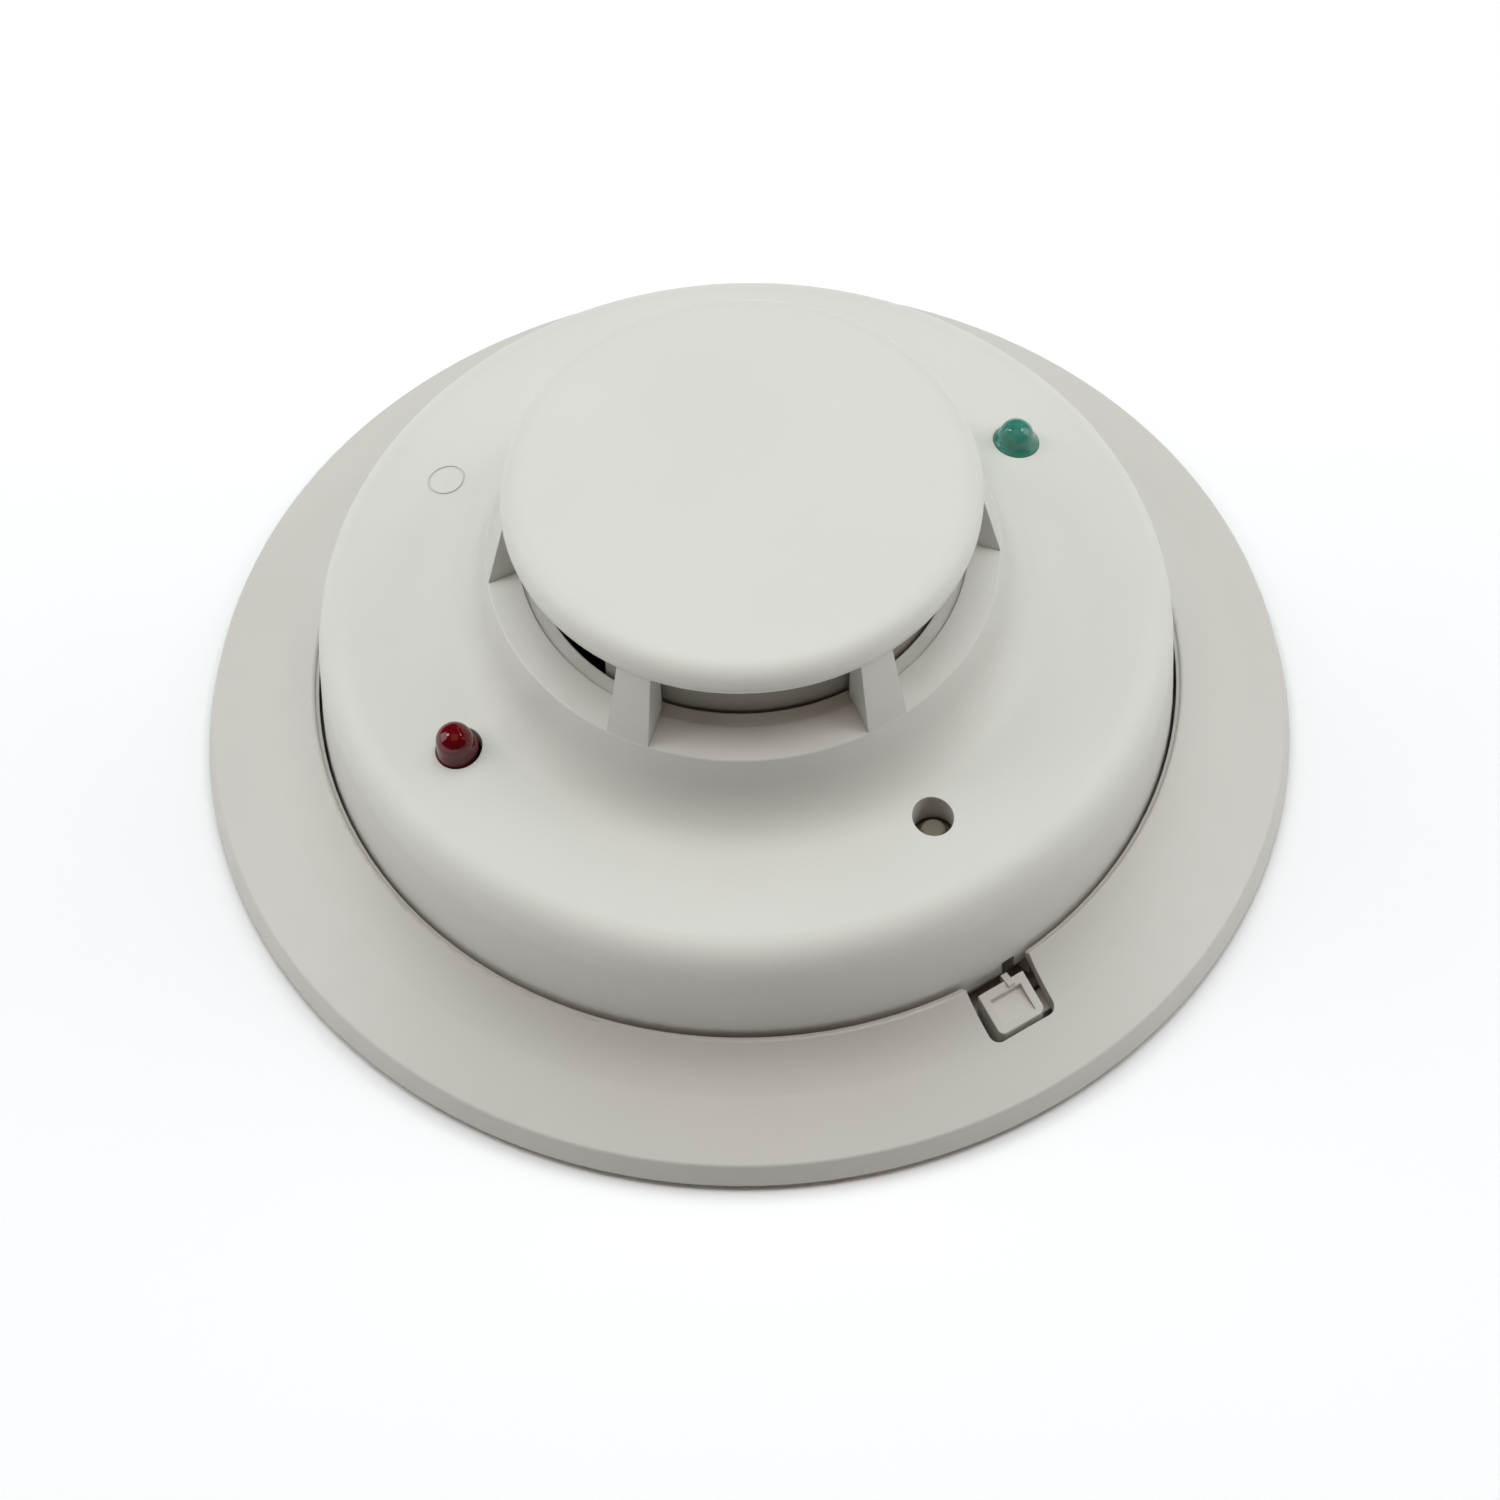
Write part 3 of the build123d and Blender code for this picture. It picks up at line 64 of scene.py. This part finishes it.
# ---- material helpers ----------------------------------------------------------------
def start_material(name, colour, roughness, metallic=0.0):
    """New material with a Principled shader, and its coordinates in millimetres."""
    material = bpy.data.materials.new(name)
    material.use_nodes = True
    nodes = material.node_tree.nodes
    shader = nodes["Principled BSDF"]
    shader.inputs["Base Color"].default_value = (*colour, 1.0)
    shader.inputs["Roughness"].default_value = roughness
    shader.inputs["Metallic"].default_value = metallic
    coordinates = nodes.new("ShaderNodeTexCoord")
    mapping = nodes.new("ShaderNodeMapping")
    mapping.inputs["Scale"].default_value = (1 / MM, 1 / MM, 1 / MM)
    material.node_tree.links.new(coordinates.outputs["Object"], mapping.inputs["Vector"])
    return material, shader, mapping.outputs["Vector"]


def noise(material, vector, per_mm, detail=2.0, roughness=0.5):
    """Noise texture with a frequency given in cycles per millimetre."""
    texture = material.node_tree.nodes.new("ShaderNodeTexNoise")
    texture.inputs["Scale"].default_value = per_mm
    texture.inputs["Detail"].default_value = detail
    texture.inputs["Roughness"].default_value = roughness
    material.node_tree.links.new(vector, texture.inputs["Vector"])
    return texture.outputs["Fac"]


def spread(material, factor, low, high, start=0.35, end=0.65):
    """Map a texture's middle range to a range of values."""
    node = material.node_tree.nodes.new("ShaderNodeMapRange")
    node.inputs["From Min"].default_value = start
    node.inputs["From Max"].default_value = end
    node.inputs["To Min"].default_value = low
    node.inputs["To Max"].default_value = high
    material.node_tree.links.new(factor, node.inputs["Value"])
    return node.outputs["Result"]


def tint(material, factor, colour, amount):
    """Vary a colour lighter and darker by a share of itself."""
    ramp = material.node_tree.nodes.new("ShaderNodeValToRGB")
    ramp.color_ramp.elements[0].position = 0.35
    ramp.color_ramp.elements[1].position = 0.65
    ramp.color_ramp.elements[0].color = (*[channel * (1 - amount) for channel in colour], 1)
    ramp.color_ramp.elements[1].color = (*[min(1, channel * (1 + amount)) for channel in colour], 1)
    material.node_tree.links.new(factor, ramp.inputs["Fac"])
    return ramp.outputs["Color"]


def soft_edges(material, radius_mm):
    """Normal that rounds sharp edges over a small radius."""
    node = material.node_tree.nodes.new("ShaderNodeBevel")
    node.samples = 4
    node.inputs["Radius"].default_value = radius_mm * MM
    return node.outputs["Normal"]


def bump(material, shader, height, depth_mm, previous=None):
    """Bump of a stated depth in millimetres."""
    node = material.node_tree.nodes.new("ShaderNodeBump")
    node.inputs["Strength"].default_value = 1.0
    node.inputs["Distance"].default_value = depth_mm * MM
    material.node_tree.links.new(height, node.inputs["Height"])
    if previous is not None:
        material.node_tree.links.new(previous, node.inputs["Normal"])
    material.node_tree.links.new(node.outputs["Normal"], shader.inputs["Normal"])
    return node.outputs["Normal"]


def moulded_plastic(name, colour, roughness=0.42, grain_per_mm=2.2, grain_mm=0.006, mottle=0.012):
    """Injection-moulded plastic: spark-eroded grain, faint flow mottling, uneven sheen."""
    material, shader, place = start_material(name, colour, roughness)
    links = material.node_tree.links
    links.new(tint(material, noise(material, place, 0.04, 3), colour, mottle), shader.inputs["Base Color"])
    sheen = noise(material, place, 0.35, 3)
    links.new(spread(material, sheen, roughness - 0.04, roughness + 0.05), shader.inputs["Roughness"])
    waves = bump(material, shader, noise(material, place, 0.12, 1), 0.012, soft_edges(material, EDGE_MM))
    bump(material, shader, noise(material, place, grain_per_mm, 2, 0.6), grain_mm, waves)
    return material


def metal(name, colour, roughness, streak=(0.4, 6.0, 6.0), depth_mm=0.002):
    """Stamped or plated metal with fine drawn streaks."""
    material, shader, place = start_material(name, colour, roughness, metallic=1.0)
    links = material.node_tree.links
    stretch = material.node_tree.nodes.new("ShaderNodeMapping")
    stretch.inputs["Scale"].default_value = streak
    links.new(place, stretch.inputs["Vector"])
    grain = noise(material, stretch.outputs["Vector"], 1.0, 4)
    links.new(tint(material, noise(material, place, 0.3, 3), colour, 0.06), shader.inputs["Base Color"])
    links.new(spread(material, grain, roughness - 0.06, roughness + 0.10), shader.inputs["Roughness"])
    bump(material, shader, grain, depth_mm)
    return material


def lens(name, colour, roughness, transmission, glow=0.0):
    """Tinted resin of a lamp or sensor: a little cloudy, with a clear glossy skin."""
    material, shader, place = start_material(name, colour, roughness)
    links = material.node_tree.links
    shader.inputs["Transmission Weight"].default_value = transmission
    shader.inputs["IOR"].default_value = 1.54
    if glow > 0:
        shader.inputs["Subsurface Weight"].default_value = glow
        shader.inputs["Subsurface Scale"].default_value = 1.0 * MM
        shader.inputs["Subsurface Radius"].default_value = (1.0, 1.0, 1.0)
    links.new(tint(material, noise(material, place, 0.7, 2), colour, 0.10), shader.inputs["Base Color"])
    haze = noise(material, place, 1.1, 2)
    links.new(spread(material, haze, roughness, roughness + 0.04), shader.inputs["Roughness"])
    bump(material, shader, noise(material, place, 0.5, 1), 0.006)
    return material


HOUSING_COLOUR = (0.635, 0.624, 0.580)

MATERIALS = {
    "housing_plastic": moulded_plastic("housing_plastic", HOUSING_COLOUR),
    "rear_plastic": moulded_plastic("rear_plastic", (0.66, 0.65, 0.61), 0.5),
    "black_plastic": moulded_plastic("black_plastic", (0.012, 0.012, 0.013), 0.62, 1.6, 0.02, 0.2),
    "screen_mesh": metal("screen_mesh", (0.035, 0.035, 0.036), 0.5),
    "brass": metal("brass", (0.72, 0.50, 0.20), 0.28),
    "steel": metal("steel", (0.60, 0.60, 0.58), 0.30),
    "tinned_lead": metal("tinned_lead", (0.70, 0.70, 0.68), 0.26),
    "label": moulded_plastic("label", (0.80, 0.80, 0.78), 0.35, 0.8, 0.002),
    "board": moulded_plastic("board", (0.02, 0.16, 0.055), 0.25, 0.8, 0.004, 0.15),
    "component_black": moulded_plastic("component_black", (0.02, 0.02, 0.022), 0.45, 3.0, 0.006, 0.1),
    "ceramic": moulded_plastic("ceramic", (0.38, 0.25, 0.15), 0.4, 3.0, 0.004, 0.08),
    "resonator": moulded_plastic("resonator", (0.55, 0.36, 0.08), 0.4, 3.0, 0.004, 0.05),
    "relay_case": moulded_plastic("relay_case", (0.66, 0.66, 0.60), 0.3),
    "capacitor_sleeve": moulded_plastic("capacitor_sleeve", (0.012, 0.018, 0.05), 0.25, 1.0, 0.003, 0.1),
    "varistor_coat": moulded_plastic("varistor_coat", (0.02, 0.07, 0.32), 0.35, 1.2, 0.02, 0.1),
    "emitter_lens": lens("emitter_lens", (0.80, 0.84, 0.92), 0.05, 0.9),
    "photodiode_lens": lens("photodiode_lens", (0.03, 0.01, 0.03), 0.08, 0.4),
    "green_lens": lens("green_lens", (0.040, 0.200, 0.150), 0.04, 0.0, 0.3),
    "red_lens": lens("red_lens", (0.115, 0.0008, 0.004), 0.04, 0.0, 0.2),
}
BASE_PLASTIC = moulded_plastic("base_plastic", (0.577, 0.552, 0.510))
# The dust guard's colour is darkened to paint in the shade deep inside the neck windows under the cap.
DUST_GUARD_PAINTED_SHADE = moulded_plastic("dust_guard_painted_shade", (0.30, 0.275, 0.235))
# The test plunger's colour is darkened to paint in the shade at the bottom of its hole.
PLUNGER_PAINTED_SHADE = moulded_plastic("plunger_painted_shade", (0.17, 0.145, 0.11), 0.5, 1.5, 0.012, 0.08)
OWN_FINISH = {
    "mounting_base": BASE_PLASTIC,
    "release_tab": BASE_PLASTIC,
    "dust_guard": DUST_GUARD_PAINTED_SHADE,
    "test_plunger": PLUNGER_PAINTED_SHADE,
}

for entry in frame["record"]["subparts"]:
    node = frame["nodes"][entry["node"]]
    node.data.materials.clear()
    node.data.materials.append(OWN_FINISH.get(entry["node"], MATERIALS[entry["material_slot"]]))


# ---- lamps, screen and spring ----------------------------------------------------------
FACE_SLOPE = radians(12.0)
# Where each lamp's axis meets the sloping face, in millimetres, and how far its top leans.
GREEN_LAMP_CENTRE = (40.75, 0.77, 27.31)
GREEN_LAMP_LEAN = (0.0, 0.0)
RED_LAMP_CENTRE = (-40.9, 0.88, 27.31)
RED_LAMP_LEAN = (-0.26, 0.02)
LAMP_SIDES = 48
DOME_STEPS = 10


def add_piece(name, points, faces, material_slot, body, smooth=True):
    """New mesh piece that rides on a body and takes a slot's finish."""
    mesh = bpy.data.meshes.new(name)
    mesh.from_pydata(points, [], faces)
    mesh.validate()
    mesh.polygons.foreach_set("use_smooth", [smooth] * len(mesh.polygons))
    mesh.materials.append(MATERIALS[material_slot])
    piece = bpy.data.objects.new(name, mesh)
    bpy.context.collection.objects.link(piece)
    if body is not None:
        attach(piece, body)
    return piece


def loft_rings(rings, tip=None):
    """Points and faces of a closed skin over rings of equal count, with an optional tip point."""
    count = len(rings[0])
    points = [point for ring in rings for point in ring]
    faces = []
    for level in range(len(rings) - 1):
        for index in range(count):
            after = (index + 1) % count
            faces.append((
                level * count + index, level * count + after,
                (level + 1) * count + after, (level + 1) * count + index,
            ))
    faces.append(tuple(reversed(range(count))))
    last = (len(rings) - 1) * count
    if tip is None:
        faces.append(tuple(range(last, last + count)))
    else:
        points.append(tip)
        faces += [(last + index, last + (index + 1) % count, len(points) - 1) for index in range(count)]
    return points, faces


def add_lamp_lens(colour, outward, centre, dome_radius, dome_height, skirt_radius, lean):
    """Lamp lens: a skirt that follows the sloping face and fills its hole, flared into a dome."""
    step_out = skirt_radius - dome_radius
    # Radius, height above the face, how far the ring follows the slope, and its share of the lean.
    skirt = [
        (skirt_radius - 0.1, -1.6, 1.0, 0.0),
        (skirt_radius, -0.5, 1.0, 0.0),
        (skirt_radius, -0.08, 1.0, 0.0),
        (skirt_radius - 0.07, 0.06, 1.0, 0.0),
        (dome_radius + 0.70 * step_out, 0.22, 0.9, 0.15),
        (dome_radius + 0.45 * step_out, 0.45, 0.65, 0.4),
        (dome_radius + 0.20 * step_out, 0.75, 0.3, 0.7),
    ]
    dome = []
    for step in range(DOME_STEPS):
        rise = pi / 2 * step / DOME_STEPS
        dome.append((dome_radius * cos(rise), dome_height + dome_radius * sin(rise), 0.0, 1.0))
    centre = Vector(centre)
    rings = []
    for radius, height, follow, share in skirt + dome:
        ring = []
        for index in range(LAMP_SIDES):
            turn = 2 * pi * index / LAMP_SIDES
            x = radius * cos(turn)
            drop = follow * sin(FACE_SLOPE) * x * outward
            place = Vector((x + share * lean[0], radius * sin(turn) + share * lean[1], height - drop))
            ring.append((centre + place) * MM)
        rings.append(ring)
    top = (centre + Vector((lean[0], lean[1], dome_height + dome_radius))) * MM
    points, faces = loft_rings(rings, tip=top)
    lens_piece = add_piece(f"{colour}_lamp_lens", points, faces, f"{colour}_lens", "head")
    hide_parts(f"{colour}_lamp")


add_lamp_lens("green", 1, GREEN_LAMP_CENTRE, 2.15, 1.0, 2.8, GREEN_LAMP_LEAN)
add_lamp_lens("red", -1, RED_LAMP_CENTRE, 2.3, 1.6, 2.6, RED_LAMP_LEAN)


def add_woven_screen():
    """Fine woven wire mesh, bent round into a cylinder, in place of the plain screen."""
    low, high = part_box("insect_screen")
    side_gap, end_gap = 0.125 * MM, 0.05 * MM
    middle_radius = high[0] - side_gap
    bottom, top = low[2] + end_gap, high[2] - end_gap
    columns, rows = 132, 14
    wire, wave = 0.11 * MM, 0.055 * MM
    points, faces = [], []

    def strand(path, closed):
        """Square wire along a path of (centre, outward, along-normal) frames."""
        first = len(points)
        for centre, outward, side in path:
            for a, b in ((1, 0), (0, 1), (-1, 0), (0, -1)):
                points.append(centre + outward * (a * wire) + side * (b * wire))
        count = len(path)
        for step in range(count if closed else count - 1):
            here, there = first + 4 * step, first + 4 * ((step + 1) % count)
            for corner in range(4):
                after = (corner + 1) % 4
                faces.append((here + corner, here + after, there + after, there + corner))
        if not closed:
            faces.append(tuple(range(first + 3, first - 1, -1)))
            faces.append(tuple(range(first + 4 * (count - 1), first + 4 * count)))

    up = Vector((0, 0, 1))
    for column in range(columns):
        turn = 2 * pi * column / columns
        outward = Vector((cos(turn), sin(turn), 0))
        side = Vector((-sin(turn), cos(turn), 0))
        path = []
        for step in range(2 * rows + 1):
            height = bottom + (top - bottom) * step / (2 * rows)
            sway = wave * sin(pi * step / 2) * (1 if column % 2 else -1)
            path.append((outward * (middle_radius + sway) + up * height, outward, side))
        strand(path, False)
    for row in range(rows):
        height = bottom + (top - bottom) * (row + 0.5) / rows
        path = []
        for step in range(2 * columns):
            turn = pi * step / columns
            outward = Vector((cos(turn), sin(turn), 0))
            sway = -wave * cos(pi * step / 2) * (1 if row % 2 else -1)
            path.append((outward * (middle_radius + sway) + up * height, outward, up))
        strand(path, True)
    mesh_piece = add_piece("woven_insect_screen", points, faces, "screen_mesh", "head", smooth=False)
    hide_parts("insect_screen")


add_woven_screen()


def add_test_spring():
    """Spring under the test button, with closed end turns."""
    low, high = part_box("test_spring")
    wire = 0.25 * MM
    coil_radius = (high[0] - low[0]) / 2 - wire
    middle = Vector(((low[0] + high[0]) / 2, (low[1] + high[1]) / 2, 0))
    end_turn = 0.54 * MM
    working_turns = 3
    bottom, top = low[2] + wire, high[2] - wire
    working_rise = (top - bottom - 2 * end_turn) / working_turns
    steps_per_turn, corners = 36, 8
    rings = []
    for step in range((working_turns + 2) * steps_per_turn + 1):
        turns = step / steps_per_turn
        last_turn = working_turns + 1
        height = bottom + min(turns, 1) * end_turn + max(0, min(turns, last_turn) - 1) * working_rise
        height += max(0, turns - last_turn) * end_turn
        outward = Vector((cos(2 * pi * turns), sin(2 * pi * turns), 0))
        centre = middle + outward * coil_radius + Vector((0, 0, height))
        ring = []
        for corner in range(corners):
            turn = 2 * pi * corner / corners
            ring.append(centre + outward * (wire * cos(turn)) + Vector((0, 0, wire * sin(turn))))
        rings.append(ring)
    points, faces = loft_rings(rings)
    spring = add_piece("test_button_spring", points, faces, "steel", None)
    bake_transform(spring)
    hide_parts("test_spring")


add_test_spring()


# ---- floor, lights, camera -----------------------------------------------------------
# The object stands a hair above the floor, which draws the thin contact shadow under its rim.
FLOOR_GAP = 1.0 * MM
FLOOR_HALF = 3.0
FLOOR_COLOUR = (0.93, 0.93, 0.93)


def white_floor():
    """Plain pale floor under the object."""
    material, shader, place = start_material("floor", FLOOR_COLOUR, 0.6)
    mottle = tint(material, noise(material, place, 0.004, 2), FLOOR_COLOUR, 0.003)
    material.node_tree.links.new(mottle, shader.inputs["Base Color"])
    mesh = bpy.data.meshes.new("floor")
    signs = ((-1, -1), (1, -1), (1, 1), (-1, 1))
    corners = [(x * FLOOR_HALF, y * FLOOR_HALF, -FLOOR_GAP) for x, y in signs]
    mesh.from_pydata(corners, [], [(0, 1, 2, 3)])
    mesh.materials.append(material)
    floor = bpy.data.objects.new("floor", mesh)
    bpy.context.collection.objects.link(floor)


CAMERA_TURN = radians(-32.2)
CAMERA_RISE = radians(55.35)
CAMERA_ROLL = radians(-1.81)
CAMERA_DISTANCE = 0.907
CAMERA_TARGET = Vector((-0.00574, -0.00919, 0.010))
CAMERA_LENS = 177.3


def toward_camera():
    """Unit vector from the target to the camera."""
    return Vector((
        cos(CAMERA_RISE) * sin(CAMERA_TURN), -cos(CAMERA_RISE) * cos(CAMERA_TURN), sin(CAMERA_RISE)
    ))


def add_camera():
    """Camera at the viewing angle, tipped by its small roll."""
    back = toward_camera()
    level = Vector((cos(CAMERA_TURN), sin(CAMERA_TURN), 0))
    upright = back.cross(level)
    right = level * cos(CAMERA_ROLL) + upright * sin(CAMERA_ROLL)
    up = upright * cos(CAMERA_ROLL) - level * sin(CAMERA_ROLL)
    data = bpy.data.cameras.new("camera")
    data.lens = CAMERA_LENS
    data.sensor_width = 36.0
    data.clip_start = 0.01
    camera = bpy.data.objects.new("camera", data)
    turn = Matrix((right, up, back)).transposed().to_4x4()
    camera.matrix_world = Matrix.Translation(CAMERA_TARGET + back * CAMERA_DISTANCE) @ turn
    bpy.context.collection.objects.link(camera)
    bpy.context.scene.camera = camera


def add_light(name, azimuth, rise, distance, size, power, colour=(1.0, 1.0, 1.0), glossy=True):
    """Square soft light that faces the object; azimuth is measured from the camera's side."""
    turn = CAMERA_TURN + radians(azimuth)
    direction = Vector((
        cos(radians(rise)) * sin(turn), -cos(radians(rise)) * cos(turn), sin(radians(rise))
    ))
    data = bpy.data.lights.new(name, "AREA")
    data.size = size
    data.energy = power
    data.color = colour
    light = bpy.data.objects.new(name, data)
    light.visible_glossy = glossy
    light.location = direction * distance
    light.rotation_euler = direction.to_track_quat("Z", "Y").to_euler()
    bpy.context.collection.objects.link(light)


def add_world(strength):
    """Even pale surroundings."""
    world = bpy.data.worlds.new("surroundings")
    world.use_nodes = True
    background = world.node_tree.nodes["Background"]
    background.inputs["Color"].default_value = (1, 1, 1, 1)
    background.inputs["Strength"].default_value = strength
    bpy.context.scene.world = world


white_floor()
add_camera()
add_world(0.03)
add_light("left_box", -100, 52, 1.25, 0.30, 1.8)
add_light("right_box", 100, 52, 1.25, 0.30, 1.8)
add_light("left_panel", -98, 24, 1.3, 0.95, 5.5)
add_light("right_panel", 98, 24, 1.3, 0.95, 5.5)
add_light("overhead", 180, 78, 1.25, 1.1, 13.0, (0.87, 0.965, 1.0), glossy=False)
add_light("front_fill", 0, 75, 1.25, 0.9, 1.4, (1.0, 0.56, 0.32))
bpy.context.scene.view_settings.view_transform = "Standard"
